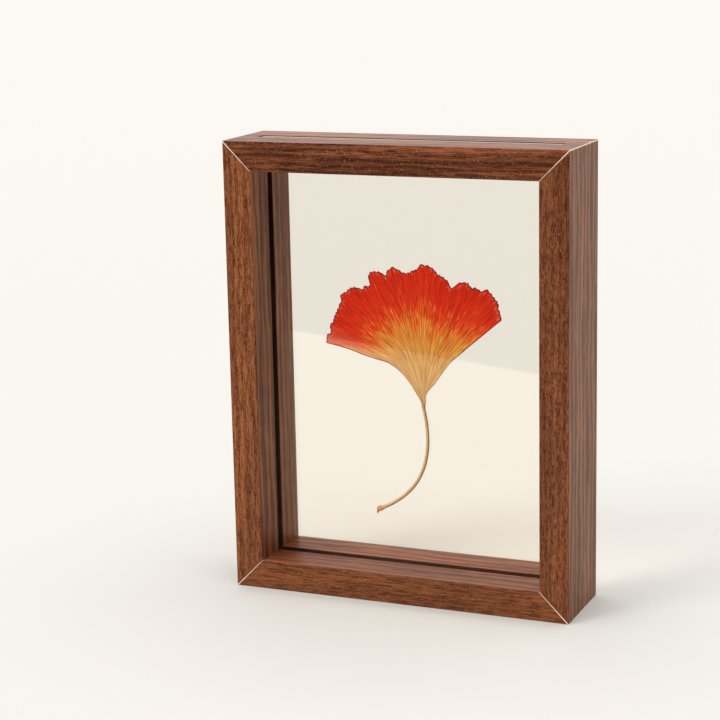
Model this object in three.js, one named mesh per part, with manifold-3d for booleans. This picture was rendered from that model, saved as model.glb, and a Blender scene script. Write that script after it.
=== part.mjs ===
// A free-standing wooden frame that holds one pressed ginkgo leaf between two clear panes.
// Four mitred wood members carry a groove at mid-depth. The panes drop into it through a slot
// in the top rail, and the leaf lies flat between them, seen from the front and from the back.
//
// Millimetres, +Z up, front towards -Y. The origin is the middle of the underside.

import * as THREE from 'three';
import { mergeVertices } from 'three/addons/utils/BufferGeometryUtils.js';
import Module from 'manifold-3d';

// Frame
const FRAME_WIDTH = 180;
const FRAME_HEIGHT = 232;
const FRAME_DEPTH = 47;
const FACE_WIDTH = 15;
const MITRE_GAP = 0.3;

// Groove for the panes, which the slot in the top rail continues upwards
const GROOVE_DEPTH = 5;
const GROOVE_WIDTH = 7;

// Panes
const PANE_THICKNESS = 2.5;
const PANE_SIDE_GAP = 0.5;
const PANE_FLOOR_GAP = 0.3;
const PANE_BELOW_TOP = 0.3;

// Leaf
const LEAF_THICKNESS = 0.4;
const LEAF_GAP = 0.3;
const NECK = new THREE.Vector2(7.5, 98);
const STALK_WIDTH = 1.7;
const KNOB_WIDTH = 3;
const SPUR_LENGTH = 2.8;
const MARGIN_STEPS = 2;
const EDGE_STEPS = 2;
const STALK_STEPS = 24;

// Wavy outer margin of the blade, from its left tip to its right tip. Each point is the angle
// from straight up, in degrees, and the distance from the neck.
const MARGIN = [
  [-61.3, 61], [-58.6, 62.3], [-57.3, 62.6], [-55.6, 61.9], [-54.4, 62.2], [-53.7, 63.8],
  [-52.8, 64.2], [-50.7, 64.1], [-49.2, 64.8], [-47.4, 65.6], [-45.3, 66.2], [-43.4, 67.1],
  [-41.3, 68.2], [-40.4, 69], [-39.6, 70.6], [-38.5, 70.9], [-36.7, 70.4], [-34.5, 70.7],
  [-32.7, 70.2], [-31.3, 69.2], [-29.7, 67.2], [-28.5, 67.5], [-27.4, 67.8], [-25.4, 67],
  [-25, 68.4], [-24.6, 71.1], [-23.9, 72.3], [-22.5, 73], [-20.7, 72.4], [-18.6, 71.2],
  [-17.5, 69.3], [-16.6, 69.5], [-15.7, 71], [-14.1, 72], [-12.6, 72.1], [-11.1, 70.8],
  [-9.6, 69.3], [-8, 68.4], [-5.9, 68.7], [-4.4, 69.6], [-3, 69.8], [-2.4, 70.8],
  [-1.2, 72.2], [0.1, 72.7], [0.9, 72], [2.2, 72.2], [3.7, 71.3], [5.5, 69.8],
  [6.3, 68.6], [8.3, 67.9], [10.1, 67], [11.9, 65.6], [12.9, 64.2], [13.8, 63],
  [15, 65.1], [16.7, 67.2], [18.4, 68.2], [20.2, 68.6], [21.6, 67.6], [22.6, 67.3],
  [24.2, 68.2], [26.6, 67.8], [27.5, 69.2], [29, 70.2], [30.6, 69.6], [32.8, 68.8],
  [34.6, 68.2], [35.9, 67.4], [36.7, 65.9], [38.2, 64.7], [39.9, 63.5], [41.3, 62.3],
];

// The blade's two lower edges, from the stalk out to the tips, and the four control points of
// the stalk's centre line, all measured from the neck
const LEFT_EDGE = [
  [-0.8, 0], [-4.3, 6.1], [-8.3, 11.9], [-13.1, 17.1], [-19.1, 20.9], [-25.9, 22.6],
  [-32.8, 24.3], [-39.5, 26.4], [-46.4, 28], [-53.5, 29.3],
];
const RIGHT_EDGE = [
  [0.4, 0], [1, 6.4], [5.8, 12.4], [9.9, 18.2], [14.3, 23.7], [19.6, 28.4],
  [24.9, 33], [30.3, 37.6], [35.7, 42.2], [41.1, 46.8],
];
const STALK = [
  new THREE.Vector2(-0.9, 0),
  new THREE.Vector2(4.5, -22),
  new THREE.Vector2(1.6, -44.8),
  new THREE.Vector2(-26.2, -56.1),
];

// Finishes
const WALNUT = new THREE.MeshStandardMaterial({ color: 0x784b30, roughness: 0.5, metalness: 0 });
const WALNUT_WARM = new THREE.MeshStandardMaterial({ color: 0x875537, roughness: 0.5, metalness: 0 });
const CLEAR = new THREE.MeshStandardMaterial({
  color: 0xf4f7f5,
  roughness: 0.03,
  metalness: 0,
  transparent: true,
  opacity: 0.2,
});
const LEAF_RED = new THREE.MeshStandardMaterial({ color: 0xd63a1c, roughness: 0.65, metalness: 0 });

const wasm = await Module();
wasm.setup();

// Turns a closed geometry into a solid that can be joined or cut.
function toSolid(geometry) {
  const bare = geometry.clone();
  bare.deleteAttribute('normal');
  bare.deleteAttribute('uv');
  const merged = mergeVertices(bare, 1e-4);
  return new wasm.Manifold(new wasm.Mesh({
    numProp: 3,
    vertProperties: new Float32Array(merged.attributes.position.array),
    triVerts: new Uint32Array(merged.index.array),
  }));
}

// Turns a solid back into a geometry with its own normals.
function toGeometry(solid) {
  const mesh = solid.getMesh();
  const geometry = new THREE.BufferGeometry();
  geometry.setAttribute('position', new THREE.BufferAttribute(mesh.vertProperties, 3));
  geometry.setIndex(new THREE.BufferAttribute(mesh.triVerts, 1));
  geometry.computeVertexNormals();
  return geometry;
}

function namedMesh(name, geometry, material) {
  const mesh = new THREE.Mesh(geometry, material);
  mesh.name = name;
  return mesh;
}

// Extrudes a front-view outline, drawn in X and Z, over a thickness centred on the plane Y = 0.
function plateFromOutline(outline, thickness) {
  const geometry = new THREE.ExtrudeGeometry(outline, { depth: thickness, bevelEnabled: false });
  geometry.rotateX(Math.PI / 2);
  geometry.translate(0, thickness / 2, 0);
  return geometry;
}

// The space that the grooves and the slot take out of the four members together: it stands on
// the floor of the bottom rail's groove and goes up through the top rail.
function grooveSpace() {
  const floor = FACE_WIDTH - GROOVE_DEPTH;
  const height = FRAME_HEIGHT - floor + 1;
  const width = FRAME_WIDTH - 2 * floor;
  const geometry = new THREE.BoxGeometry(width, GROOVE_WIDTH, height);
  geometry.translate(0, 0, floor + height / 2);
  return toSolid(geometry);
}

// One member: its mitred outline in front view, as deep as the frame, with the groove cut out.
function frameMember(corners, groove) {
  const outline = new THREE.Shape(corners.map(([x, z]) => new THREE.Vector2(x, z)));
  const bar = toSolid(plateFromOutline(outline, FRAME_DEPTH));
  return toGeometry(bar.subtract(groove));
}

// Corners of the bottom rail, short sides mitred at 45 degrees.
function railCorners() {
  const half = FRAME_WIDTH / 2;
  const setback = (MITRE_GAP / 2) * Math.SQRT2;
  return [
    [-half + setback, 0],
    [half - setback, 0],
    [half - FACE_WIDTH - setback, FACE_WIDTH],
    [-half + FACE_WIDTH + setback, FACE_WIDTH],
  ];
}

// Corners of the right stile, short sides mitred at 45 degrees.
function stileCorners() {
  const half = FRAME_WIDTH / 2;
  const setback = (MITRE_GAP / 2) * Math.SQRT2;
  return [
    [half, setback],
    [half, FRAME_HEIGHT - setback],
    [half - FACE_WIDTH, FRAME_HEIGHT - FACE_WIDTH - setback],
    [half - FACE_WIDTH, FACE_WIDTH + setback],
  ];
}

// The same corners on the other side of the frame, taken in reverse so that they still run
// anticlockwise.
function mirrored(corners, mirror) {
  return corners.map(mirror).reverse();
}

function frameMembers() {
  const groove = grooveSpace();
  const bottom = railCorners();
  const top = mirrored(bottom, ([x, z]) => [x, FRAME_HEIGHT - z]);
  const right = stileCorners();
  const left = mirrored(right, ([x, z]) => [-x, z]);
  return [
    namedMesh('frame_bottom_rail', frameMember(bottom, groove), WALNUT),
    namedMesh('frame_left_stile', frameMember(left, groove), WALNUT_WARM),
    namedMesh('frame_right_stile', frameMember(right, groove), WALNUT),
    namedMesh('frame_top_rail', frameMember(top, groove), WALNUT),
  ];
}

// One clear pane, standing just above the groove's floor, side -1 in front and 1 behind.
function pane(name, side) {
  const floor = FACE_WIDTH - GROOVE_DEPTH + PANE_FLOOR_GAP;
  const height = FRAME_HEIGHT - PANE_BELOW_TOP - floor;
  const width = FRAME_WIDTH - 2 * (FACE_WIDTH - GROOVE_DEPTH) - 2 * PANE_SIDE_GAP;
  const mesh = namedMesh(name, new THREE.BoxGeometry(width, PANE_THICKNESS, height), CLEAR);
  const offset = LEAF_THICKNESS / 2 + LEAF_GAP + PANE_THICKNESS / 2;
  mesh.position.set(0, side * offset, floor + height / 2);
  return mesh;
}

// The margin as a smooth curve through its points, measured from the neck.
function marginPoints() {
  const points = MARGIN.map(([degrees, radius]) => {
    const angle = THREE.MathUtils.degToRad(degrees);
    return new THREE.Vector2(radius * Math.sin(angle), radius * Math.cos(angle));
  });
  return new THREE.SplineCurve(points).getPoints(MARGIN_STEPS * (points.length - 1));
}

// A lower edge as a smooth curve, without its two ends: the first lies on the stalk and the
// last on the margin.
function edgePoints(edge) {
  const points = edge.map(([x, z]) => new THREE.Vector2(x, z));
  const curve = new THREE.SplineCurve(points).getPoints(EDGE_STEPS * (points.length - 1));
  return curve.slice(EDGE_STEPS, -1);
}

// Half the stalk's width at a place along it, from 0 at the neck to 1 at the knob.
function stalkHalfWidth(place) {
  const swell = THREE.MathUtils.smoothstep(place, 0.93, 1);
  return THREE.MathUtils.lerp(STALK_WIDTH, KNOB_WIDTH, swell) / 2;
}

// One side of the stalk, from the neck down to the knob: side 1 is its right, -1 its left.
function stalkSide(side) {
  const centre = new THREE.CubicBezierCurve(...STALK);
  return Array.from({ length: STALK_STEPS + 1 }, (_, step) => {
    const place = step / STALK_STEPS;
    const along = centre.getTangent(place);
    const across = new THREE.Vector2(-along.y, along.x).multiplyScalar(side * stalkHalfWidth(place));
    return centre.getPoint(place).add(across);
  });
}

// The short pointed spur under the knob, drawn between the two sides of the stalk.
function spur() {
  const root = STALK[3].clone().add(new THREE.Vector2(-KNOB_WIDTH / 2, 0));
  const tip = STALK[3].clone().add(new THREE.Vector2(-KNOB_WIDTH / 3, -SPUR_LENGTH));
  return [root, tip];
}

// The whole leaf in one outline, anticlockwise: down the blade's left edge, round the stalk,
// up the right edge and back along the margin.
function leafOutline() {
  const points = [
    ...edgePoints(LEFT_EDGE).reverse(),
    ...stalkSide(-1),
    ...spur(),
    ...stalkSide(1).reverse(),
    ...edgePoints(RIGHT_EDGE),
    ...marginPoints().reverse(),
  ];
  return new THREE.Shape(points.map((point) => point.add(NECK)));
}

const frame = new THREE.Group();
frame.add(...frameMembers());
frame.add(pane('front_pane', -1));
frame.add(pane('back_pane', 1));
frame.add(namedMesh('ginkgo_leaf', plateFromOutline(leafOutline(), LEAF_THICKNESS), LEAF_RED));

export default frame;
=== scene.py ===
"""A free-standing walnut frame with one pressed ginkgo leaf between two clear panes.

The file follows the frame as it is put together: the four mitred members, the panes that drop
in through the slot in the top rail, the leaf between them, and last the studio around it.
Metres, +Z up, front towards -Y, origin in the middle of the underside.
"""

import bmesh
import bpy
import numpy as np
from mathutils import Matrix, Vector


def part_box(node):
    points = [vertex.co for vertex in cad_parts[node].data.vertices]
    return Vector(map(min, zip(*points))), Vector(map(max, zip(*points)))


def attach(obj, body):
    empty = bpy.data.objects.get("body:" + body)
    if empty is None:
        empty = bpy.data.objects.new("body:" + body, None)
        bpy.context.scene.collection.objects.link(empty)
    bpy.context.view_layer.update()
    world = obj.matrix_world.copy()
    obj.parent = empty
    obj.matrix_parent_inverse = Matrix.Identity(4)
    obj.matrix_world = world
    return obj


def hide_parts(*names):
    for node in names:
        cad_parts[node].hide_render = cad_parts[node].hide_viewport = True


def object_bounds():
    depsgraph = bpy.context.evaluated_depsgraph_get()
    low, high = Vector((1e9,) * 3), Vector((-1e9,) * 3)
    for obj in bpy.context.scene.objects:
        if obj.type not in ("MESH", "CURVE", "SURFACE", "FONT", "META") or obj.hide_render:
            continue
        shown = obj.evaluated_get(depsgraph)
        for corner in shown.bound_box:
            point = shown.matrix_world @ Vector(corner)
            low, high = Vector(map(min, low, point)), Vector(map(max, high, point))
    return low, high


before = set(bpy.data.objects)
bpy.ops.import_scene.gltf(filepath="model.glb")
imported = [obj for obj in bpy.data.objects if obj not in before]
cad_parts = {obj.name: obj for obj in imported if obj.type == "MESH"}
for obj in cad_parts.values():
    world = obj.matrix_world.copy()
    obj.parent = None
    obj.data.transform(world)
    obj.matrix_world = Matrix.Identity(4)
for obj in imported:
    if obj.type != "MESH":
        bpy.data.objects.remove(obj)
cad_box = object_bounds()

# Stiles and bottom rail
# Bars of fibreboard with a walnut surface, ploughed with one groove for the panes and cut at
# 45 degrees. The cut breaks the surface's edge, so a pale hairline of core shows at each mitre.

MM = 0.001
LOW, HIGH = cad_box
WIDTH = HIGH.x - LOW.x
DEPTH = HIGH.y - LOW.y
HEIGHT = HIGH.z - LOW.z
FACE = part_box("frame_bottom_rail")[1].z
PANE_PLAY = 0.5 * MM
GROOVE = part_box("back_pane")[1].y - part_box("front_pane")[0].y + 2 * PANE_PLAY
GROOVE_FLOOR = WIDTH / 2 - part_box("front_pane")[1].x - PANE_PLAY
EDGE_RADIUS = 0.4 * MM
FLOOR_RADIUS = 0.2 * MM
ARC_STEPS = 6

# Half the gap at a glued mitre, the two bevels that its cut edges have, and how many times
# further the bevel runs back on the outer face.
JOINT_GAP = 0.03 * MM
BROKEN_EDGE = 0.13 * MM
CRISP_EDGE = 0.05 * MM
CORNER_RUN = 2.6

# A side of a member faces the opening when it lies further in than the lip's start, and deeper
# than a skin under the front and back.
LIP_START = 5 * MM
FACE_SKIN = 1 * MM


def round_corners(corners, radii):
    """A closed right-angled outline with each corner P rounded. With a and b the unit vectors
    to the neighbours and r the radius, the arc is P + (a + b) r - b r cos(t) - a r sin(t)."""
    corners = np.asarray(corners, float)
    radii = np.asarray(radii, float)[:, None, None]
    before = np.roll(corners, 1, 0) - corners
    after = np.roll(corners, -1, 0) - corners
    a = (before / np.linalg.norm(before, axis=1, keepdims=True))[:, None]
    b = (after / np.linalg.norm(after, axis=1, keepdims=True))[:, None]
    t = np.linspace(0, np.pi / 2, ARC_STEPS)[None, :, None]
    arcs = corners[:, None] + radii * (a + b - b * np.cos(t) - a * np.sin(t))
    return arcs.reshape(-1, 2)


def grooved_section(inset):
    """Cross-section of a grooved member: distance in from the outer face, and depth. Inset
    moves the outer, front and back faces that far into the wood, as the bevel at a mitre
    does, and the inner faces by no more than a crisp edge."""
    tight = min(inset, CRISP_EDGE)
    outer, inner = inset, FACE - tight
    back = DEPTH / 2 - inset
    wall = GROOVE / 2 + tight
    floor = GROOVE_FLOOR - tight
    corners = [
        (outer, -back), (inner, -back), (inner, -wall), (floor, -wall),
        (floor, wall), (inner, wall), (inner, back), (outer, back),
    ]
    outside = EDGE_RADIUS - inset
    radii = [outside, outside, outside, FLOOR_RADIUS, FLOOR_RADIUS, outside, outside, outside]
    return round_corners(corners, radii)


def plain_section(inset):
    """Cross-section of an ungrooved member, inset as above."""
    outer, inner = inset, FACE - min(inset, CRISP_EDGE)
    back = DEPTH / 2 - inset
    corners = [(outer, -back), (inner, -back), (inner, back), (outer, back)]
    return round_corners(corners, [EDGE_RADIUS - inset] * 4)


def mitred_rings(section, length, bevels):
    """Rings of (in from the outer face, depth, along) for a member whose ends lie at
    length / 2 - distance in: at each end one ring on the mitre, inset by its bevel, and one
    full ring behind it. On the outer face the bevel runs back further, as a sanded corner."""
    reach = length / 2 - JOINT_GAP
    rings = []
    for end, bevel in zip((-1, 1), bevels):
        pair = []
        for inset, back in ((bevel, 0), (0, bevel * np.sqrt(2))):
            flat = section(inset)
            back = np.where(flat[:, 0] < EDGE_RADIUS, back * CORNER_RUN, back)
            along = end * (reach - flat[:, 0] - back)
            pair.append(np.column_stack([flat, along]))
        rings += pair if end < 0 else pair[::-1]
    return np.array(rings)


def ring_faces(ring_count, around):
    """Quads between stacked closed rings of vertices, and one cap on each end."""
    ring, step = np.meshgrid(np.arange(ring_count - 1), np.arange(around), indexing="ij")
    onward = (step + 1) % around
    corners = [ring * around + step, ring * around + onward]
    corners += [(ring + 1) * around + onward, (ring + 1) * around + step]
    quads = np.stack(corners, -1).reshape(-1, 4).tolist()
    last = (ring_count - 1) * around
    return quads, [list(range(around))[::-1], list(range(last, last + around))]


def solid_mesh(name, points, faces, materials):
    """Mesh object at the origin, its faces turned outwards."""
    mesh = bpy.data.meshes.new(name)
    mesh.from_pydata(points.reshape(-1, 3).tolist(), [], faces)
    for material in materials:
        mesh.materials.append(material)
    shell = bmesh.new()
    shell.from_mesh(mesh)
    bmesh.ops.recalc_face_normals(shell, faces=shell.faces)
    shell.to_mesh(mesh)
    shell.free()
    piece = bpy.data.objects.new(name, mesh)
    bpy.context.scene.collection.objects.link(piece)
    return piece


def member(name, rings, place, materials):
    """Wood member from its rings, placed by a function from (in, depth, along) to x, y, z.
    Its long arcs are smooth and its flats flat. Its materials are the walnut, the bare core on
    the outer bevels at the mitres, and the painted shade in the groove, a near-black colour for the
    shade there."""
    ring_count, around = rings.shape[:2]
    quads, caps = ring_faces(ring_count, around)
    points = place(rings[..., 0], rings[..., 1], rings[..., 2])
    piece = solid_mesh(name, points, quads + caps, materials)
    side = np.tile(np.arange(around), ring_count - 1)
    band = np.repeat(np.arange(ring_count - 1), around)
    arc = (side % ARC_STEPS) != ARC_STEPS - 1
    bevel = band != 1
    middle = (rings[0] + np.roll(rings[0], -1, 0)) / 2
    inside = (middle[:, 0] > LIP_START) & (np.abs(middle[:, 1]) < DEPTH / 2 - FACE_SKIN)
    smooth = np.concatenate([arc & ~bevel, [False, False]])
    core = np.concatenate([bevel & ~inside[side], [False, False]])
    ploughed = inside[side] & (np.abs(middle[side, 1]) < GROOVE / 2 + EDGE_RADIUS / 2)
    # Faces in the groove take the painted shade, a near-black colour standing in for the shade there.
    groove_shaded = np.concatenate([~bevel & ploughed, [False, False]])
    piece.data.polygons.foreach_set("use_smooth", smooth)
    piece.data.polygons.foreach_set("material_index", core.astype(np.int32) + 2 * groove_shaded)
    return piece


def node(tree, kind, **settings):
    """Shader node of a kind. Settings named for a property set it, others set the input of
    that name, or of that number after an underscore, from a value or another node's output."""
    made = tree.nodes.new(kind)
    for key, value in settings.items():
        if hasattr(made, key):
            setattr(made, key, value)
            continue
        number = key[1:]
        socket = made.inputs[int(number) if number.isdigit() else key.replace("_", " ")]
        if isinstance(value, bpy.types.NodeSocket):
            tree.links.new(value, socket)
        else:
            socket.default_value = value
    return made


def maths(tree, operation, *values, **settings):
    """Result of one step of arithmetic on values or sockets."""
    inputs = {"_" + str(index): value for index, value in enumerate(values)}
    return node(tree, "ShaderNodeMath", operation=operation, **inputs, **settings).outputs[0]


def stretch(tree, place, scale):
    """A place with each of its three parts multiplied."""
    return node(tree, "ShaderNodeVectorMath", operation="MULTIPLY", _0=place, _1=scale).outputs[0]


def noise(tree, place, scale=1.0, detail=2.0, distortion=0.0):
    """Smooth random value around one half over a place."""
    made = node(
        tree, "ShaderNodeTexNoise", Vector=place, Scale=scale, Detail=detail, Distortion=distortion,
    )
    return made.outputs["Fac"]


def tone(red, green, blue):
    """Linear colour with alpha from an sRGB colour of 0 to 255."""
    share = np.array([red, green, blue]) / 255
    linear = np.where(share > 0.04045, ((share + 0.055) / 1.055) ** 2.4, share / 12.92)
    return (*linear.tolist(), 1)


def grey(level):
    """Colour of one linear level, for a share or a roughness."""
    return (level, level, level, 1)


def ramp(tree, factor, stops):
    """Colour ramp over (place, colour) stops, driven by a factor socket."""
    made = node(tree, "ShaderNodeValToRGB", Fac=factor)
    elements = made.color_ramp.elements
    while len(elements) < len(stops):
        elements.new(1)
    for element, (place, colour) in zip(elements, stops):
        element.position = place
        element.color = colour
    return made.outputs["Color"]


def blend_colours(tree, kind, factor, base, over):
    """Two colours mixed in the given way by a factor. In Blender's Mix node the factor is input
    0, the colours are inputs 6 and 7, and the result is output 2."""
    made = node(tree, "ShaderNodeMix", data_type="RGBA", blend_type=kind, _0=factor, _6=base, _7=over)
    return made.outputs[2]


def new_material(name):
    """Empty node material, its node tree and its output node."""
    material = bpy.data.materials.new(name)
    material.use_nodes = True
    tree = material.node_tree
    tree.nodes.clear()
    return material, tree, tree.nodes.new("ShaderNodeOutputMaterial")


def surface(tree, output, **settings):
    """Principled surface with the given settings, linked to the material's output."""
    skin = node(tree, "ShaderNodeBsdfPrincipled", **settings)
    tree.links.new(skin.outputs[0], output.inputs[0])


# Size of each layer of the wood's figure along and across the grain, in millimetres, and how
# many times deeper than wide a fibre of the front and back is. A pore has a third size, its
# depth, and the rings repeat after the ring depth from front to back.
SLOW_TONE = (120, 8)
RING_WANDER = (60, 7)
RING_RIPPLE = (8, 1.8)
SIDE_FIBRE = (46, 0.9)
FACE_FIBRE_WIDTH = 0.5
FACE_FIBRE_FLATNESS = 2.2
PORE_GROUP = (5, 1.5)
PORE_SIZE = (1.7, 0.46, 0.46)
FLECK_SIZE = (1.3, 0.4)
RING_DEPTH = 6.5

# How far the rings move, in rings, and how strong each layer is.
WANDER_REACH = 1.3
RIPPLE_REACH = 0.45
RING_ON_FACE = 0.65
FIBRE_STRENGTH = 0.82
PORE_RADIUS = 0.60
PORE_RADIUS_IN_RING = 0.26
PORE_STEEPNESS = 6.0
PORE_STRENGTH = 0.30
PORE_STRENGTH_IN_RING = 0.25
FLECK_STRENGTH = 0.4
PORE_DEPTH = 0.06 * MM

WHITE = grey(1.0)
BLACK = grey(0.0)
EARLY_WOOD = tone(253, 244, 246)
LATE_WOOD = tone(182, 147, 142)
FIBRE = tone(158, 130, 110)
PORE = tone(44, 16, 4)
FLECK = tone(196, 140, 96)
SHEEN = (1, 0.62, 0.5, 1)


def walnut(name, grain, offset, tones, ring_width, ring_strength, fibre_length):
    """Satin walnut with its grain along x or z, cut from its own place in the tree by the
    offset in metres. The growth rings are a wave across the face and through the depth, which
    wanders along the grain. Open pores are short dark cells, larger on the dark side of each
    ring. The front and back show short fibres and a few pale flecks, the other faces long
    fibres and the rings at full strength. Ring width and fibre length are in millimetres, and
    ring strength is how strongly the rings show on the front and back and in the pores."""
    material, tree, output = new_material(name)
    place = node(tree, "ShaderNodeTexCoord").outputs["Object"]
    turned = node(tree, "ShaderNodeMapping", Vector=place, Location=offset)
    if grain == "z":
        turned.inputs["Rotation"].default_value = (0, np.pi / 2, 0)
    board = turned.outputs[0]

    def drawn_out(length, deep, across):
        """Place on the board in units of the given sizes."""
        return stretch(tree, board, (1 / (length * MM), 1 / (deep * MM), 1 / (across * MM)))

    def layer(length, across, flatness=1.0, **settings):
        """Noise drawn out along the grain, and flatness times as deep as it is wide."""
        return noise(tree, drawn_out(length, across * flatness, across), **settings)

    facing = node(tree, "ShaderNodeNewGeometry").outputs["Normal"]
    front = maths(tree, "ABSOLUTE", node(tree, "ShaderNodeSeparateXYZ", Vector=facing).outputs[1])
    parts = node(tree, "ShaderNodeSeparateXYZ", Vector=board)
    through = maths(tree, "MULTIPLY", parts.outputs[1], 1 / (RING_DEPTH * MM))
    ring = maths(tree, "MULTIPLY_ADD", parts.outputs[2], 1 / (ring_width * MM), through)
    ripple = maths(tree, "MULTIPLY", layer(*RING_RIPPLE, detail=0.0), RIPPLE_REACH)
    wander = maths(tree, "MULTIPLY_ADD", layer(*RING_WANDER, detail=0.0), WANDER_REACH, ripple)
    phase = maths(tree, "MULTIPLY", maths(tree, "ADD", ring, wander), 2 * np.pi)
    wave = maths(tree, "MULTIPLY_ADD", maths(tree, "SINE", phase), 0.5, 0.5)

    slow = layer(*SLOW_TONE, detail=1.0, distortion=0.3)
    base = ramp(tree, slow, [(0.36, tones[0]), (0.64, tones[1])])
    rings = ramp(tree, wave, [(0.25, EARLY_WOOD), (0.90, LATE_WOOD)])
    share = maths(tree, "MULTIPLY_ADD", front, RING_ON_FACE * ring_strength - 1.0, 1.0)
    colour = blend_colours(tree, "MULTIPLY", share, base, rings)
    short = layer(fibre_length, FACE_FIBRE_WIDTH, FACE_FIBRE_FLATNESS, distortion=0.4)
    long = layer(*SIDE_FIBRE)
    fibre = maths(tree, "MULTIPLY_ADD", maths(tree, "SUBTRACT", short, long), front, long)
    fibres = ramp(tree, fibre, [(0.40, FIBRE), (0.54, WHITE)])
    colour = blend_colours(tree, "MULTIPLY", FIBRE_STRENGTH, colour, fibres)

    cells = node(tree, "ShaderNodeTexVoronoi", Vector=drawn_out(*PORE_SIZE), Scale=1.0)
    row = maths(tree, "MULTIPLY", maths(tree, "POWER", wave, 3.0), ring_strength)
    radius = maths(tree, "MULTIPLY", layer(*PORE_GROUP, detail=1.0), PORE_RADIUS)
    radius = maths(tree, "MULTIPLY_ADD", row, PORE_RADIUS_IN_RING, radius)
    within = maths(tree, "SUBTRACT", radius, cells.outputs["Distance"])
    depth = maths(tree, "MULTIPLY", within, PORE_STEEPNESS, use_clamp=True)
    on_face = PORE_STRENGTH + PORE_STRENGTH_IN_RING * ring_strength
    strength = maths(tree, "MULTIPLY_ADD", front, on_face, PORE_STRENGTH)
    sunk = maths(tree, "MULTIPLY", depth, strength)
    colour = blend_colours(tree, "MIX", sunk, colour, PORE)
    fleck = ramp(tree, layer(*FLECK_SIZE, detail=0.0), [(0.70, BLACK), (0.80, grey(FLECK_STRENGTH))])
    colour = blend_colours(tree, "MIX", maths(tree, "MULTIPLY", fleck, front), colour, FLECK)

    rough = ramp(tree, wave, [(0.2, grey(0.32)), (0.9, grey(0.42))])
    raised = maths(tree, "SUBTRACT", 1.0, sunk)
    bump = node(tree, "ShaderNodeBump", Strength=0.4, Distance=PORE_DEPTH, Height=raised)
    surface(
        tree, output, Base_Color=colour, Roughness=rough, Normal=bump.outputs[0],
        Specular_IOR_Level=0.2, Sheen_Weight=0.1, Sheen_Roughness=0.4, Sheen_Tint=SHEEN,
    )
    return material


def speckled(name, fineness, dark, light, **finish):
    """Material of two tones in a fine speckle, with this many speckles to the metre."""
    material, tree, output = new_material(name)
    place = node(tree, "ShaderNodeTexCoord").outputs["Object"]
    colour = ramp(tree, noise(tree, place, fineness), [(0.3, dark), (0.7, light)])
    surface(tree, output, Base_Color=colour, **finish)
    return material


def left_place(inward, depth, along):
    """Points of the left stile, measured inward from the frame's left side."""
    return np.stack([-WIDTH / 2 + inward, depth, HEIGHT / 2 + along], -1)


def right_place(inward, depth, along):
    """Points of the right stile, measured inward from the frame's right side."""
    return np.stack([WIDTH / 2 - inward, depth, HEIGHT / 2 + along], -1)


def bottom_place(inward, depth, along):
    """Points of the bottom rail, measured upward from the frame's underside."""
    return np.stack([along, depth, inward], -1)


# Cut fibreboard is pale, matt and faintly speckled, and the groove is painted nearly black as painted
# shade.
CORE = speckled("bare_core", 2600.0, tone(234, 206, 184), tone(250, 232, 216), Roughness=0.85)
GROOVE_SHADE = speckled(
    "groove_painted_shade", 1500.0, tone(44, 26, 18), tone(62, 38, 26), Roughness=0.8, Specular_IOR_Level=0.2,
)

left_walnut = walnut(
    "walnut_left_stile", "z", offset=(0.013, 0.002, 0.0), tones=(tone(154, 94, 54), tone(138, 82, 47)),
    ring_width=4.2, ring_strength=0.75, fibre_length=5,
)
right_walnut = walnut(
    "walnut_right_stile", "z", offset=(0.31, 0.047, 0.02), tones=(tone(142, 85, 49), tone(120, 69, 38)),
    ring_width=3.2, ring_strength=0.55, fibre_length=3.5,
)
bottom_walnut = walnut(
    "walnut_bottom_rail", "x", offset=(0.12, 0.11, 0.07), tones=(tone(143, 85, 48), tone(124, 72, 39)),
    ring_width=2.4, ring_strength=0.4, fibre_length=8,
)
stile_rings = mitred_rings(grooved_section, HEIGHT, (CRISP_EDGE, BROKEN_EDGE))
rail_rings = mitred_rings(grooved_section, WIDTH, (BROKEN_EDGE, BROKEN_EDGE))
left_stile = member("left_stile", stile_rings, left_place, [left_walnut, CORE, GROOVE_SHADE])
right_stile = member("right_stile", stile_rings, right_place, [right_walnut, CORE, GROOVE_SHADE])
bottom_rail = member("bottom_rail", rail_rings, bottom_place, [bottom_walnut, CORE, GROOVE_SHADE])

for piece, stands_for in (
    (left_stile, "frame_left_stile"),
    (right_stile, "frame_right_stile"),
    (bottom_rail, "frame_bottom_rail"),
):
    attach(piece, "root")
    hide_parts(stands_for)

# Top rail
# The same bar without the plough, slotted right through from its top face to its inner face
# so that the panes can be dropped in. The slot is as wide as the grooves below it.

SLOT_OVERSHOOT = 1 * MM


def top_place(inward, depth, along):
    """Points of the top rail, measured downward from the frame's top."""
    return np.stack([along, depth, HEIGHT - inward], -1)


def slot_cutter(material):
    """Closed box that fills the slot and stands a little proud of both faces."""
    half = WIDTH / 2 - GROOVE_FLOOR
    sides = np.array([(-half, -1), (half, -1), (half, 1), (-half, 1)]) * (1, GROOVE / 2)
    levels = (HEIGHT - FACE - SLOT_OVERSHOOT, HEIGHT + SLOT_OVERSHOOT)
    points = np.array([[(x, y, z) for x, y in sides] for z in levels])
    quads, caps = ring_faces(len(levels), len(sides))
    return solid_mesh("slot_cutter", points, quads + caps, [material])


def cut_away(piece, cutter):
    """Takes the cutter's shape out of the piece's mesh, and removes the cutter."""
    cut = piece.modifiers.new("slot", "BOOLEAN")
    cut.operation = "DIFFERENCE"
    cut.solver = "EXACT"
    cut.object = cutter
    evaluated = piece.evaluated_get(bpy.context.evaluated_depsgraph_get())
    slotted = bpy.data.meshes.new_from_object(evaluated)
    piece.modifiers.clear()
    piece.data = slotted
    bpy.data.objects.remove(cutter)


top_walnut = walnut(
    "walnut_top_rail", "x", offset=(0.43, 0.29, 0.011), tones=(tone(152, 91, 55), tone(110, 61, 34)),
    ring_width=3.4, ring_strength=1.0, fibre_length=12,
)
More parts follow.
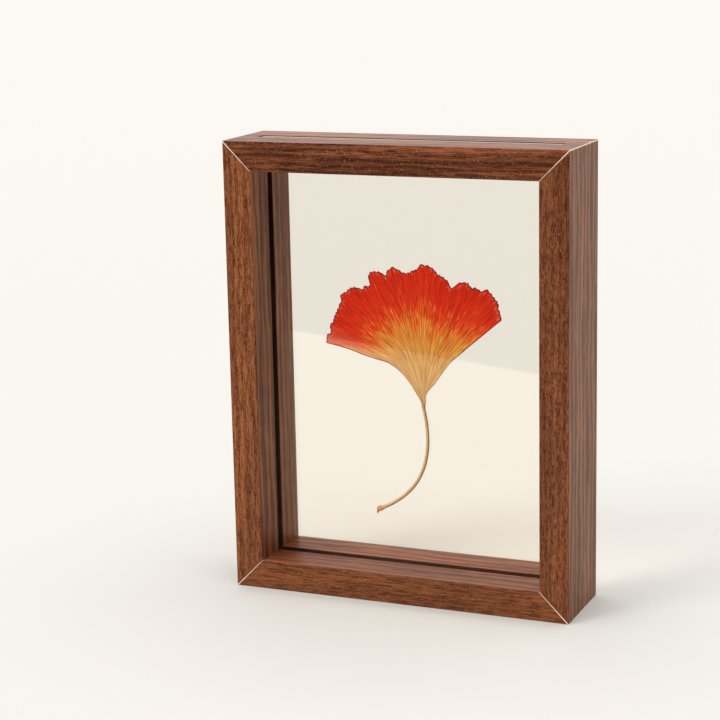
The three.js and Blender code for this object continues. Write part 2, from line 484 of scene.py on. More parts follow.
# The member numbers this rail's inner face as groove shade. The rail has only two materials, so that
# face shows the second one, the bare core, where the other members show walnut.
top_rings = mitred_rings(plain_section, WIDTH, (CRISP_EDGE, CRISP_EDGE))
top_rail = member("top_rail", top_rings, top_place, [top_walnut, CORE])
cut_away(top_rail, slot_cutter(top_walnut))
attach(top_rail, "root")
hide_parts("frame_top_rail")

# Panes
# Two sheets of clear float glass with ground edges. They stand in the groove with a little
# play, their top edges just below the mouth of the slot.

PANE_BEVEL = 0.12 * MM
GLASS_IOR = 1.5
GLASS_SHADOW = grey(0.97)
STRAW_TINT = (0.98, 0.93, 0.80, 1)
STRAW_DENSITY = 110.0
BROAD_FACE = 0.99


def clear_glass():
    """Plain clear glass with the faint straw tint of its absorption. Light from the lamps goes
    straight through it to the leaf."""
    material, tree, output = new_material("clear_glass")
    glass = node(
        tree, "ShaderNodeBsdfPrincipled", Base_Color=WHITE, Roughness=0.0, IOR=GLASS_IOR,
        Transmission_Weight=1.0,
    )
    straight = node(tree, "ShaderNodeBsdfTransparent", Color=GLASS_SHADOW)
    lamp_ray = node(tree, "ShaderNodeLightPath").outputs["Is Shadow Ray"]
    both = node(tree, "ShaderNodeMixShader", _0=lamp_ray, _1=glass.outputs[0], _2=straight.outputs[0])
    tint = node(tree, "ShaderNodeVolumeAbsorption", Color=STRAW_TINT, Density=STRAW_DENSITY)
    tree.links.new(both.outputs[0], output.inputs["Surface"])
    tree.links.new(tint.outputs[0], output.inputs["Volume"])
    return material


def pane_mesh(name, low, high, materials):
    """Sheet between two corners with a flat bevel along every edge: four rings up its height,
    the first and last inset by the bevel. Only its two broad faces are clear, the rest ground."""
    levels = np.array([low.z, low.z + PANE_BEVEL, high.z - PANE_BEVEL, high.z])
    insets = np.array([PANE_BEVEL, 0, 0, PANE_BEVEL])
    half = np.array([(high.x - low.x) / 2, (high.y - low.y) / 2])
    centre = np.array([(high.x + low.x) / 2, (high.y + low.y) / 2])
    signs = np.array([(-1, -1), (-1, -1), (1, -1), (1, -1), (1, 1), (1, 1), (-1, 1), (-1, 1)])
    cuts = np.array([(0, 1), (1, 0), (1, 0), (0, 1), (0, 1), (1, 0), (1, 0), (0, 1)]) * PANE_BEVEL
    flat = centre + signs * (half - cuts - insets[:, None, None])
    ring_count, around = flat.shape[:2]
    heights = np.broadcast_to(levels[:, None, None], (ring_count, around, 1))
    quads, caps = ring_faces(ring_count, around)
    sheet = solid_mesh(name, np.concatenate([flat, heights], -1), quads + caps, materials)
    normals = np.zeros(3 * len(sheet.data.polygons))
    sheet.data.polygons.foreach_get("normal", normals)
    ground = np.abs(normals.reshape(-1, 3)[:, 1]) < BROAD_FACE
    sheet.data.polygons.foreach_set("material_index", ground.astype(np.int32))
    return sheet


# The ground edges are the same glass, greyed by fine scratches.
GLASS = clear_glass()
GROUND = speckled(
    "ground_edge", 1800.0, tone(150, 138, 118), tone(190, 178, 156), Roughness=0.5, IOR=GLASS_IOR,
    Transmission_Weight=0.3,
)
for name in ("front_pane", "back_pane"):
    pane = pane_mesh("glass_" + name, *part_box(name), [GLASS, GROUND])
    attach(pane, "root")
    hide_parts(name)

# Leaf
# A dried ginkgo leaf pressed flat: a fan of fine forking veins with a crinkled outer margin,
# on a thin curved stalk that ends in a small knob with a pointed spur.

# The neck lies this many millimetres to the right of the frame's middle and above its underside.
# The outline is measured from it: the margin in degrees from straight up and millimetres out,
# the lower edges and the stalk's four control points in millimetres to the right and up. Most of
# these numbers come from scratch scripts, which turned points picked on enlarged crops of the
# photo into these units, spaced the lower edges evenly and fitted the stalk to its line.
NECK = np.array([7.5, 98.0])
MARGIN = np.array([
    [-61.3, 61], [-58.6, 62.3], [-57.3, 62.6], [-55.6, 61.9], [-54.4, 62.2], [-53.7, 63.8],
    [-52.8, 64.2], [-50.7, 64.1], [-49.2, 64.8], [-47.4, 65.6], [-45.3, 66.2], [-43.4, 67.1],
    [-41.3, 68.2], [-40.4, 69], [-39.6, 70.6], [-38.5, 70.9], [-36.7, 70.4], [-34.5, 70.7],
    [-32.7, 70.2], [-31.3, 69.2], [-29.7, 67.2], [-28.5, 67.5], [-27.4, 67.8], [-25.4, 67],
    [-25, 68.4], [-24.6, 71.1], [-23.9, 72.3], [-22.5, 73], [-20.7, 72.4], [-18.6, 71.2],
    [-17.5, 69.3], [-16.6, 69.5], [-15.7, 71], [-14.1, 72], [-12.6, 72.1], [-11.1, 70.8],
    [-9.6, 69.3], [-8, 68.4], [-5.9, 68.7], [-4.4, 69.6], [-3, 69.8], [-2.4, 70.8],
    [-1.2, 72.2], [0.1, 72.7], [0.9, 72], [2.2, 72.2], [3.7, 71.3], [5.5, 69.8],
    [6.3, 68.6], [8.3, 67.9], [10.1, 67], [11.9, 65.6], [12.9, 64.2], [13.8, 63],
    [15, 65.1], [16.7, 67.2], [18.4, 68.2], [20.2, 68.6], [21.6, 67.6], [22.6, 67.3],
    [24.2, 68.2], [26.6, 67.8], [27.5, 69.2], [29, 70.2], [30.6, 69.6], [32.8, 68.8],
    [34.6, 68.2], [35.9, 67.4], [36.7, 65.9], [38.2, 64.7], [39.9, 63.5], [41.3, 62.3],
])
LEFT_EDGE = np.array([
    [-0.8, 0], [-4.3, 6.1], [-8.3, 11.9], [-13.1, 17.1], [-19.1, 20.9], [-25.9, 22.6],
    [-32.8, 24.3], [-39.5, 26.4], [-46.4, 28], [-53.5, 29.3],
])
RIGHT_EDGE = np.array([
    [0.4, 0], [1, 6.4], [5.8, 12.4], [9.9, 18.2], [14.3, 23.7], [19.6, 28.4],
    [24.9, 33], [30.3, 37.6], [35.7, 42.2], [41.1, 46.8],
])
STALK = np.array([(-0.9, 0), (4.5, -22), (1.6, -44.8), (-26.2, -56.1)])
BRUISE = np.array([21.0, 30.2])
BRUISE_RADIUS = 0.5

# The blade's mesh, and its thickness and relief in millimetres.
BLADE_COLUMNS = 640
BLADE_ROWS = 70
ROW_CROWDING = 0.9
BLADE_THICKNESS = 0.16
NECK_THICKNESS = 0.25
NECK_FADE = 14
EDGE_TAPER = 1.2
EDGE_THICKNESS = 0.25
CRINKLE = 0.28
FINE_CRINKLE = 0.15
PLEAT = 0.11
CRUMPLE = 0.09
VEIN_HEIGHT = 0.045
VEIN_WIDTH = 0.24
VEIN_LEAST = 0.8
RIM_REACH = 30
RIM_FAR = 9.0

# Veins: how many leave the neck, how unevenly they end, and where along the blade they fork.
BASE_VEINS = 26
VEIN_JITTER = 0.42
FIRST_FORK = (0.10, 0.46)
SECOND_FORK = (0.42, 0.92)
FORK_LENGTH = 0.12


def through_points(points, places):
    """Uniform Catmull-Rom curve: passes through every point, its slope there half the step
    between the neighbours. Places run from 0 to 1."""
    ends = np.concatenate([2 * points[:1] - points[1:2], points, 2 * points[-1:] - points[-2:-1]])
    reach = np.clip(places, 0, 1) * (len(points) - 1)
    index = np.minimum(reach.astype(int), len(points) - 2)
    t = (reach - index)[:, None]
    a, b, c, d = (ends[index + step] for step in range(4))
    bend = 2 * b + (c - a) * t + (2 * a - 5 * b + 4 * c - d) * t**2 + (3 * b - a - 3 * c + d) * t**3
    return bend / 2


def cubic(a, b, c, d, t):
    """Bezier curve of third degree over its four control points."""
    return (1 - t) ** 3 * a + 3 * (1 - t) ** 2 * t * b + 3 * (1 - t) * t**2 * c + t**3 * d


def margin_at(across):
    """Point of the outer margin for each place from the left tip, 0, to the right tip, 1, with
    an uneven fine crinkle made of sines of the place."""
    angle, radius = MARGIN.T
    radians = np.radians(angle)
    outline = np.stack([radius * np.sin(radians), radius * np.cos(radians)], -1)
    by_angle = (angle - angle[0]) / (angle[-1] - angle[0])
    evenly = np.interp(across, by_angle, np.linspace(0, 1, len(angle)))
    points = through_points(outline, evenly)
    crinkle = CRINKLE * np.sin(across * 311 + 2 * np.sin(across * 47))
    crinkle = crinkle + FINE_CRINKLE * np.sin(across * 733)
    fade = np.clip(np.minimum(across, 1 - across) * 30, 0, 1)
    away = points / np.linalg.norm(points, axis=1, keepdims=True)
    return points + away * (crinkle * fade)[:, None]


def blade_flat(across, along):
    """The blade in its own plane. A straight line runs from the neck to each place of the
    margin, and the two lower edges bend the lines near them: the bend of an edge is its offset
    from its own straight line, and it fades with the square of the share across."""
    tip = margin_at(across)
    t = along[:, None]
    left_bend = through_points(LEFT_EDGE, along) - t * tip[0]
    right_bend = through_points(RIGHT_EDGE, along) - t * tip[-1]
    s = across[:, None, None]
    return t * tip[:, None] + (1 - s) ** 2 * left_bend + s**2 * right_bend


def opened(along, fork):
    """How far a fork has opened, eased from 0 to 1 as 3x^2 - 2x^3 over the fork's length."""
    x = np.clip((along - fork) / FORK_LENGTH, 0, 1)
    return x**2 * (3 - 2 * x)


def vein_places(along):
    """Where each final vein lies across the blade at each place along it, and how strong it
    is. A base vein forks into two and each of those forks again."""
    chance = np.random.default_rng(11)
    count = 4 * BASE_VEINS
    final = (np.arange(count) + 0.5 + chance.uniform(-VEIN_JITTER, VEIN_JITTER, count)) / count
    pair = np.repeat(final.reshape(-1, 2).mean(1), 2)
    base = np.repeat(final.reshape(-1, 4).mean(1), 4)
    first = np.repeat(chance.uniform(*FIRST_FORK, BASE_VEINS), 4)[:, None]
    second = np.repeat(chance.uniform(*SECOND_FORK, 2 * BASE_VEINS), 2)[:, None]
    place = base[:, None] + (pair - base)[:, None] * opened(along, first)
    place = place + (final - pair)[:, None] * opened(along, second)
    return place, chance.uniform(0.15, 1.0, count)


def vein_ridges(across, along, flat):
    """Height of the vein lines, from 0 to their strength: exp(-(d / w)^2) for the distance d to
    the nearest vein, with w never narrower than the mesh can hold."""
    place, strength = vein_places(along)
    pitch = np.linalg.norm(np.gradient(flat, across, axis=0), axis=-1)
    width = np.maximum(VEIN_WIDTH, VEIN_LEAST * pitch / BLADE_COLUMNS)
    apart = np.abs(across[:, None, None] - place.T[None]) * pitch[..., None]
    return (strength * np.exp(-((apart / width[..., None]) ** 2))).max(-1)


def rim_distance(flat):
    """Distance of every blade point from the outer margin, over the margin points a few columns
    to either side of its own."""
    tip = flat[:, -1:]
    column = np.arange(len(flat))
    nearest = np.full(flat.shape[:2], RIM_FAR)
    for shift in range(-RIM_REACH, RIM_REACH + 1):
        other = tip[np.clip(column + shift, 0, len(flat) - 1)]
        nearest = np.minimum(nearest, np.linalg.norm(flat - other, axis=-1))
    return nearest


def side_distance(flat):
    """Distance of every blade point from the nearer lower edge."""
    from_left = np.linalg.norm(flat - flat[:1], axis=-1)
    from_right = np.linalg.norm(flat - flat[-1:], axis=-1)
    return np.minimum(from_left, from_right)


def blade_relief(across, along, ridges):
    """How far the blade stands out of its plane: soft pleats along the veins that grow towards
    the margin, a finer crumple near the margin, and the fine ridge of each vein. Pleats and
    crumple are products and sums of sines of the place across and along."""
    s, t = across[:, None], along[None, :]
    pleats = np.sin(s * 41 + 3 * np.sin(s * 13)) + 0.6 * np.sin(s * 97 + t * 2)
    crumple = np.sin(s * 173 + 5 * t + 2 * np.sin(s * 31)) * np.sin(t * 24 + 3 * np.sin(s * 59))
    return PLEAT * pleats * t**1.5 + CRUMPLE * crumple * t**4 - VEIN_HEIGHT * ridges


def blade_thickness(rim, side, along):
    """Full in the middle of the blade, thin towards its edges, thicker at the neck."""
    body = BLADE_THICKNESS + NECK_THICKNESS * np.exp(-along[None, :] * NECK_FADE)
    edges = np.clip(np.minimum(rim, side) / EDGE_TAPER, 0, 1)
    return body * (EDGE_THICKNESS + (1 - EDGE_THICKNESS) * np.sqrt(edges))


def sheet_shell(front, back):
    """Closed shell of two grids of points, front and back, stitched all round."""
    columns, rows = front.shape[:2]
    column, row = np.meshgrid(np.arange(columns - 1), np.arange(rows - 1), indexing="ij")
    near = column * rows + row
    quad = np.stack([near, near + rows, near + rows + 1, near + 1], -1).reshape(-1, 4)
    index = np.arange(columns * rows).reshape(columns, rows)
    rim = np.concatenate([index[:-1, 0], index[-1, :-1], index[:0:-1, -1], index[0, :0:-1]])
    ahead = np.roll(rim, -1)
    total = columns * rows
    edge = np.stack([rim, ahead, ahead + total, rim + total], -1)
    faces = np.concatenate([quad, quad[:, ::-1] + total, edge[:, ::-1]])
    return np.concatenate([front.reshape(-1, 3), back.reshape(-1, 3)]), faces


def standing(flat, out):
    """Points of the leaf's plane, in millimetres from the neck, put upright in the frame."""
    return np.stack([flat[..., 0] + NECK[0], out, flat[..., 1] + NECK[1]], -1) * MM


def blade_shell():
    """Both faces of the blade, and for every vertex its place across and along the blade, its
    vein height, its distances from the margin and a lower edge, and its share of the bruise,
    which is exp(-(d / r)^2) for the distance d from its middle."""
    across = np.linspace(0, 1, BLADE_COLUMNS)
    along = np.linspace(0, 1, BLADE_ROWS) ** ROW_CROWDING
    flat = blade_flat(across, along)
    ridges = vein_ridges(across, along, flat)
    rim, side = rim_distance(flat), side_distance(flat)
    relief = blade_relief(across, along, ridges)
    half = blade_thickness(rim, side, along) / 2
    points, faces = sheet_shell(standing(flat, relief - half), standing(flat, relief + half))
    bruise = np.exp(-(np.linalg.norm(flat - BRUISE, axis=-1) / BRUISE_RADIUS) ** 2)
    s, t = np.broadcast_arrays(across[:, None], along[None, :])
    values = np.stack([s, t, ridges, rim, side, bruise], -1).reshape(-1, 6)
    return points, faces, np.concatenate([values, values])


# The stalk's sizes in millimetres. Its parts are measured by the parameter of its curve, which
# is 0 at the neck and 1 at the foot, and the taper's rise and the spur's fall are per unit of it.
STALK_WIDTH = 1.75
STALK_DEPTH = 0.74
STALK_ROWS = 90
STALK_SIDES = 20
STALK_TIP = 0.02
TAPER_PART = 0.2
TAPER_RISE = 60
SPUR_PART = 0.1
SPUR_FALL = np.array([-8, -28])
KNOB_PLACE = 0.99
KNOB_PART = 0.018
KNOB_SWELL = 0.85


def stalk_shell():
    """Round-sided stalk along its curve. It starts as a taper inside the blade's neck, swells
    into the knob and closes in the spur. Its width is the stalk's, times the taper, times one
    plus a bell curve at the knob, times the spur's share."""
    place = np.linspace(-TAPER_PART, 1 + SPUR_PART, STALK_ROWS)
    curve = cubic(*STALK[:, None], np.clip(place, 0, 1)[:, None])
    upward = (STALK[0] - STALK[1]) / np.linalg.norm(STALK[0] - STALK[1])
    curve = curve + np.clip(-place, 0, 1)[:, None] * upward * TAPER_RISE
    curve = curve + np.clip(place - 1, 0, 1)[:, None] * SPUR_FALL
    slope = np.gradient(curve, axis=0)
    slope /= np.linalg.norm(slope, axis=1, keepdims=True)
    aside = np.stack([-slope[:, 1], slope[:, 0]], -1)
    taper = np.clip((place + TAPER_PART) / TAPER_PART, 0, 1) ** 0.7
    swell = 1 + KNOB_SWELL * np.exp(-(((place - KNOB_PLACE) / KNOB_PART) ** 2))
    spur = np.clip((1 + SPUR_PART - place) / SPUR_PART, 0, 1)
    width = STALK_WIDTH / 2 * taper * swell * np.minimum(1, spur * 1.15) + STALK_TIP
    depth = STALK_DEPTH / 2 * taper * np.minimum(1, 0.15 + spur) + STALK_TIP
    turn = np.linspace(0, 2 * np.pi, STALK_SIDES, endpoint=False)
    flat = curve[:, None] + aside[:, None] * (width[:, None] * np.cos(turn))[..., None]
    points = standing(flat, depth[:, None] * np.sin(turn))
    quads, caps = ring_faces(STALK_ROWS, STALK_SIDES)
    round_about = np.broadcast_to(turn / (2 * np.pi), (STALK_ROWS, STALK_SIDES))
    lengthwise = np.broadcast_to(place[:, None], (STALK_ROWS, STALK_SIDES))
    return points.reshape(-1, 3), quads, caps, np.stack([round_about, lengthwise], -1).reshape(-1, 2)


# Streaks on the blade, each as its number of cells across the blade and along it.
PATCHES = (8, 1.6)
BROAD_STREAKS = (44, 2.6)
FINE_STREAKS = (150, 13)
CORDS = (74, 3)
HAIRS = (430, 7)
SCORCHES = (70, 1)
# The pale dashes near the margin are painted highlights of small folds.
FOLD_GLINTS = (260, 14)
RAGGED_RIM = (150, 2)
RIM_PATCHES = (90, 1)

# Colours of the blade from the neck outwards, and of the vein lines in each zone.
ZONES = [
    (0.00, tone(240, 196, 134)), (0.30, tone(244, 198, 120)), (0.42, tone(238, 178, 84)),
    (0.54, tone(240, 156, 62)), (0.62, tone(238, 110, 46)), (0.70, tone(228, 62, 26)),
    (0.84, tone(220, 50, 18)), (1.00, tone(214, 42, 14)),
]
VEIN_TONES = [(0.30, tone(170, 118, 66)), (0.56, tone(172, 88, 32)), (0.72, tone(166, 24, 10))]
HAIR_TONE = tone(156, 110, 80)
CORD_TONE = tone(188, 140, 92)
# The left tip's pale pinkish tone is a painted reflection.
LEFT_VEIL_TONE = tone(240, 164, 132)
SCORCH_TONE = tone(150, 30, 12)
FOLD_GLINT_TONE = tone(244, 160, 124)
RIM_TONES = [(0.35, tone(96, 10, 4)), (0.60, tone(158, 26, 12))]
SIDE_TONES = [(0.50, tone(112, 66, 40)), (0.85, tone(74, 18, 10))]
BRUISE_TONE = tone(84, 30, 16)


def remap(tree, value, low, high, start=0.0, end=1.0):
    """A value from low to high turned into start to end, and held at both ends."""
    made = node(
        tree, "ShaderNodeMapRange", Value=value, From_Min=low, From_Max=high, To_Min=start, To_Max=end,
    )
    return made.outputs[0]


def shifted(tree, base, factor, share, middle=0.0):
    """A base plus a share of how far the factor lies above its middle."""
    return maths(tree, "MULTIPLY_ADD", maths(tree, "SUBTRACT", factor, middle), share, base)


def streaks(tree, veins, size, detail=1.0, distortion=0.0):
    """Noise drawn out along the veins, with the size's numbers of cells across and along."""
    return noise(tree, stretch(tree, veins, (*size, 1)), detail=detail, distortion=distortion)


def ripeness(tree, veins, across, along, side):
    """How far towards the red margin the colour of a point lies: its place along the blade,
    less near a lower edge, and pushed up and down by patches, broad streaks and fine ones."""
    strip = remap(tree, side, 0.0, 6.0, 0.26, 0.0)
    leftward = shifted(tree, 1.0, across, -0.6)
    ripe = shifted(tree, along, maths(tree, "MULTIPLY", strip, leftward), -1.0)
    ripe = shifted(tree, ripe, streaks(tree, veins, PATCHES), 0.22, 0.5)
    ripe = shifted(tree, ripe, streaks(tree, veins, BROAD_STREAKS), 0.12, 0.5)
    return shifted(tree, ripe, streaks(tree, veins, FINE_STREAKS, distortion=0.6), 0.58, 0.5)


def vein_colours(tree, veins, across, along, ripe, hairs, ridge):
    """Colour zones with the darker hairs between the veins, the cords in the lower blade, the
    vein lines, and a faint painted reflection, a pale pinkish veil, along the left tip."""
    hair = ramp(tree, hairs, [(0.36, HAIR_TONE), (0.52, WHITE)])
    hairiness = remap(tree, ripe, 0.5, 0.75, 0.8, 0.5)
    colour = blend_colours(tree, "MULTIPLY", hairiness, ramp(tree, ripe, ZONES), hair)
    cord = ramp(tree, streaks(tree, veins, CORDS), [(0.42, CORD_TONE), (0.52, WHITE)])
    cordiness = remap(tree, along, 0.6, 0.3, 0.0, 0.55)
    colour = blend_colours(tree, "MULTIPLY", cordiness, colour, cord)
    drawn = maths(tree, "MULTIPLY", ridge, remap(tree, along, 0.15, 0.5, 0.3, 0.85))
    colour = blend_colours(tree, "MIX", drawn, colour, ramp(tree, ripe, VEIN_TONES))
    # Painted reflection: a pale pinkish veil laid over the left tip.
    left_veil = maths(tree, "MULTIPLY", remap(tree, across, 0.10, 0.0), 0.28)
    return blend_colours(tree, "MIX", left_veil, colour, LEFT_VEIL_TONE)


def edge_colours(tree, veins, along, rim, side, bruise, colour):
    """The blade's colour with its scorched outer margin, painted highlights of small folds inside it,
    the ragged dark rim, the thin line along both lower edges, and the one dark bruise."""
    burnt = shifted(tree, rim, streaks(tree, veins, SCORCHES), -2.6, 0.5)
    scorched = ramp(tree, burnt, [(0.0, grey(0.55)), (1.0, BLACK)])
    colour = blend_colours(tree, "MIX", scorched, colour, SCORCH_TONE)
    # Painted highlights: pale dashes just inside the margin, where small folds would catch the light.
    near_rim = remap(tree, rim, 3.6, 0.8)
    glint_streaks = maths(tree, "MULTIPLY_ADD", near_rim, 0.16, streaks(tree, veins, FOLD_GLINTS))
    glint = ramp(tree, glint_streaks, [(0.72, BLACK), (0.80, grey(0.5))])
    colour = blend_colours(tree, "MIX", glint, colour, FOLD_GLINT_TONE)
    ragged = shifted(tree, rim, streaks(tree, veins, RAGGED_RIM), 0.7, 0.5)
    edge = ramp(tree, ragged, [(0.46, grey(0.95)), (0.84, BLACK)])
    rim_tone = ramp(tree, streaks(tree, veins, RIM_PATCHES), RIM_TONES)
    colour = blend_colours(tree, "MIX", edge, colour, rim_tone)
    side_line = ramp(tree, side, [(0.30, grey(0.85)), (0.70, BLACK)])
    colour = blend_colours(tree, "MIX", side_line, colour, ramp(tree, along, SIDE_TONES))
    return blend_colours(tree, "MIX", bruise, colour, BRUISE_TONE)


def blade_finish():
    """Blade colours over its own coordinates: tan at the neck, golden, then orange and red
    towards the margin, in long streaks along the veins. The veins are fine darker lines. The
    margin is dark and brittle. Hairs and veins also press into the surface."""
    material, tree, output = new_material("ginkgo_blade")
    veins = node(tree, "ShaderNodeUVMap", uv_map="veins").outputs[0]
    parts = node(tree, "ShaderNodeSeparateXYZ", Vector=veins)
    across, along = parts.outputs[0], parts.outputs[1]
    ridge, rim, side, bruise = (
        node(tree, "ShaderNodeAttribute", attribute_name=name).outputs["Fac"]
        for name in ("vein", "from_margin", "from_side", "bruise")
    )
    hairs = streaks(tree, veins, HAIRS, detail=0.0)
    ripe = ripeness(tree, veins, across, along, side)
    colour = vein_colours(tree, veins, across, along, ripe, hairs, ridge)
    colour = edge_colours(tree, veins, along, rim, side, bruise, colour)
    folds = shifted(tree, ridge, hairs, -0.8)
    bump = node(tree, "ShaderNodeBump", Strength=0.5, Distance=0.06 * MM, Height=folds)
    surface(
        tree, output, Base_Color=colour, Roughness=0.6, Specular_IOR_Level=0.08,
        Normal=bump.outputs[0],
    )
    return material


# Painted shading round the stalk, from its right side over its back to its left side and its front:
# painted shade down the right side and a thin darker line down the left.
STALK_SHADING = [
    (0.00, tone(120, 84, 56)), (0.10, tone(126, 88, 60)), (0.22, WHITE),
    (0.44, tone(240, 228, 214)), (0.50, tone(170, 136, 108)), (0.56, tone(250, 244, 236)),
    (0.76, tone(240, 226, 208)), (0.88, tone(126, 88, 60)), (1.00, tone(120, 84, 56)),
]
STALK_DARK = tone(188, 156, 110)
STALK_LIGHT = tone(218, 188, 140)
KNOB_TONE = tone(190, 128, 82)
SPUR_TONE = tone(84, 46, 30)


def stalk_finish():
    """Stalk: mottled tan, with painted shade down its right side and a thin darker line down its left,
    warm at the knob and dark at the spur.
    """
    material, tree, output = new_material("ginkgo_stalk")
    veins = node(tree, "ShaderNodeUVMap", uv_map="veins").outputs[0]
    parts = node(tree, "ShaderNodeSeparateXYZ", Vector=veins)
    round_about, lengthwise = parts.outputs[0], parts.outputs[1]
    place = node(tree, "ShaderNodeTexCoord").outputs["Object"]
    mottle = noise(tree, place, scale=700.0, detail=3.0)
    base = ramp(tree, mottle, [(0.3, STALK_DARK), (0.7, STALK_LIGHT)])
    colour = blend_colours(tree, "MULTIPLY", 1.0, base, ramp(tree, round_about, STALK_SHADING))
    knob = ramp(tree, lengthwise, [(0.95, BLACK), (0.985, WHITE)])
    colour = blend_colours(tree, "MIX", knob, colour, KNOB_TONE)
    spur = remap(tree, maths(tree, "SUBTRACT", lengthwise, 1.0), 0.01, 0.05)
    colour = blend_colours(tree, "MIX", spur, colour, SPUR_TONE)
    bump = node(tree, "ShaderNodeBump", Strength=0.4, Distance=0.1 * MM, Height=mottle)
    surface(
        tree, output, Base_Color=colour, Roughness=0.6, Specular_IOR_Level=0.2,
        Normal=bump.outputs[0],
    )
    return material


blade_points, blade_faces, blade_values = blade_shell()
stalk_points, stalk_quads, stalk_caps, stalk_veins = stalk_shell()
first = len(blade_points)
stalk_faces = [[first + corner for corner in face] for face in stalk_quads + stalk_caps]
leaf = solid_mesh(
    "pressed_leaf", np.concatenate([blade_points, stalk_points]), blade_faces.tolist() + stalk_faces,
    [blade_finish(), stalk_finish()],
)
leaf.data.polygons.foreach_set("use_smooth", np.ones(len(leaf.data.polygons), bool))
which = np.repeat([0, 1], [len(blade_faces), len(stalk_faces)]).astype(np.int32)
leaf.data.polygons.foreach_set("material_index", which)
vein_map = leaf.data.uv_layers.new(name="veins")
corner_vertex = np.zeros(len(leaf.data.loops), np.int32)
leaf.data.loops.foreach_get("vertex_index", corner_vertex)
vertex_veins = np.concatenate([blade_values[:, :2], stalk_veins])
vein_map.uv.foreach_set("vector", vertex_veins[corner_vertex].ravel())
for column, name in enumerate(("vein", "from_margin", "from_side", "bruise"), start=2):
    held = leaf.data.attributes.new(name, "FLOAT", "POINT")
    held.data.foreach_set("value", np.pad(blade_values[:, column], (0, len(stalk_points))))
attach(leaf, "root")
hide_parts("ginkgo_leaf")

# Studio
# A plain pale floor under soft light: an even warm sky, a broad key from in front on the left
# and a soft one from above. A dark card in front is seen only in the glass.

FLOOR_REACH = 12.0
FLOOR_COLOUR = (0.525, 0.522, 0.512, 1)
FLOOR_IN_GLASS = (0.49, 0.43, 0.35, 1)
CARD_MIDDLE = np.array([-0.2375, -0.5445])
CARD_ALONG = np.array([0.934, 0.356])
CARD_HALF = 1.5
CARD_HEIGHT = 1.4
CARD_COLOUR = (0.012, 0.011, 0.010, 1)
SKY_LIGHT = (1.0, 0.985, 0.96, 1)
BACKDROP = (0.965, 0.95, 0.92, 1)
CAMERA_PLACE = Vector((0.3682, -0.9252, 0.3442))
CAMERA_TURN = 23.175
CAMERA_TILT = 12.59
CAMERA_ROLL = -1.204
CAMERA_LENS = 101.5
CAMERA_SENSOR = 36


def flat_sheet(name, corners, material):
    """One four-sided face of a material."""
    mesh = bpy.data.meshes.new(name)
    mesh.from_pydata(corners, [], [(0, 1, 2, 3)])
    mesh.materials.append(material)
    sheet = bpy.data.objects.new(name, mesh)
    bpy.context.scene.collection.objects.link(sheet)
    return sheet


def mirrored(tree):
    """1 for a ray that some gloss has thrown back on its way, otherwise 0."""
    turns = node(tree, "ShaderNodeLightPath").outputs["Glossy Depth"]
    return maths(tree, "MINIMUM", turns, 1.0)


def studio_floor():
    """Square of pale matt floor. Seen in a gloss it is dimmer, so that the panes stay clear."""
    material, tree, output = new_material("pale_floor")
    colour = blend_colours(tree, "MIX", mirrored(tree), FLOOR_COLOUR, FLOOR_IN_GLASS)
    surface(tree, output, Base_Color=colour, Roughness=0.9)
    reach = FLOOR_REACH
    corners = [(-reach, -reach, 0), (reach, -reach, 0), (reach, reach, 0), (-reach, reach, 0)]
    return flat_sheet("floor", corners, material)


def dark_card():
    """Upright dark sheet on the floor in front, there only for what the glass throws back."""
    material, tree, output = new_material("dark_card")
    skin = node(tree, "ShaderNodeBsdfPrincipled", Base_Color=CARD_COLOUR, Roughness=0.9)
    clear = node(tree, "ShaderNodeBsdfTransparent")
    both = node(tree, "ShaderNodeMixShader", _0=mirrored(tree), _1=clear.outputs[0], _2=skin.outputs[0])
    tree.links.new(both.outputs[0], output.inputs[0])
    left = CARD_MIDDLE - CARD_ALONG * CARD_HALF
    right = CARD_MIDDLE + CARD_ALONG * CARD_HALF
    corners = [(*left, 0), (*right, 0), (*right, CARD_HEIGHT), (*left, CARD_HEIGHT)]
    card = flat_sheet("dark_card", corners, material)
    for sight in ("camera", "diffuse", "shadow", "volume_scatter"):
        setattr(card, "visible_" + sight, False)
    return card


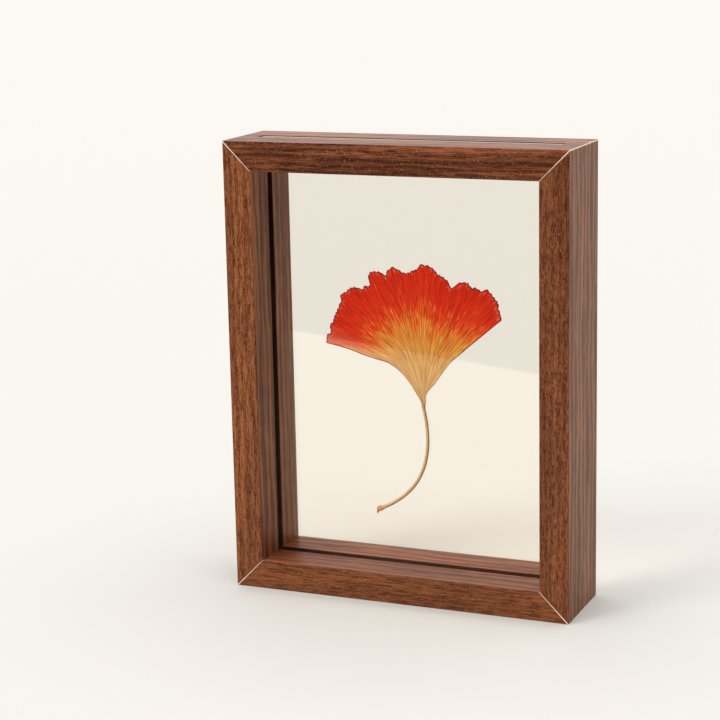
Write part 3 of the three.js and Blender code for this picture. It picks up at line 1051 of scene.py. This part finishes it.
def sun(name, towards, spread, strength, colour):
    """Sun lamp that shines from a direction, its disc as wide as the spread in degrees."""
    lamp = bpy.data.lights.new(name, "SUN")
    lamp.angle = np.radians(spread)
    lamp.energy = strength
    lamp.color = colour
    holder = bpy.data.objects.new(name, lamp)
    holder.rotation_mode = "QUATERNION"
    holder.rotation_quaternion = Vector(towards).to_track_quat("Z", "Y")
    bpy.context.scene.collection.objects.link(holder)


def even_sky(strength, colour, backdrop):
    """World that lights with one plain colour, and is seen as another."""
    world = bpy.data.worlds.new("even_sky")
    world.use_nodes = True
    tree = world.node_tree
    tree.nodes.clear()
    rays = node(tree, "ShaderNodeLightPath").outputs
    seen = maths(tree, "MAXIMUM", rays["Is Camera Ray"], rays["Is Glossy Ray"])
    light = node(tree, "ShaderNodeBackground", Color=colour, Strength=strength)
    sight = node(tree, "ShaderNodeBackground", Color=backdrop, Strength=1.0)
    both = node(tree, "ShaderNodeMixShader", _0=seen, _1=light.outputs[0], _2=sight.outputs[0])
    output = tree.nodes.new("ShaderNodeOutputWorld")
    tree.links.new(both.outputs[0], output.inputs[0])
    bpy.context.scene.world = world


studio_floor()
dark_card()
even_sky(strength=0.6, colour=SKY_LIGHT, backdrop=BACKDROP)
sun("key", towards=(-0.45, -0.6, 0.66), spread=24, strength=1.1, colour=(1.0, 0.97, 0.92))
sun("top", towards=(0.0, 0.0, 1.0), spread=75, strength=3.0, colour=(1.0, 0.97, 0.93))

camera = bpy.data.objects.new("camera", bpy.data.cameras.new("camera"))
camera.data.lens = CAMERA_LENS
camera.data.sensor_width = CAMERA_SENSOR
camera.data.clip_end = 100
camera.matrix_world = (
    Matrix.Translation(CAMERA_PLACE)
    @ Matrix.Rotation(np.radians(CAMERA_TURN), 4, "Z")
    @ Matrix.Rotation(np.radians(90 - CAMERA_TILT), 4, "X")
    @ Matrix.Rotation(np.radians(CAMERA_ROLL), 4, "Z")
)
bpy.context.scene.collection.objects.link(camera)
bpy.context.scene.camera = camera
bpy.context.scene.view_settings.view_transform = "Standard"
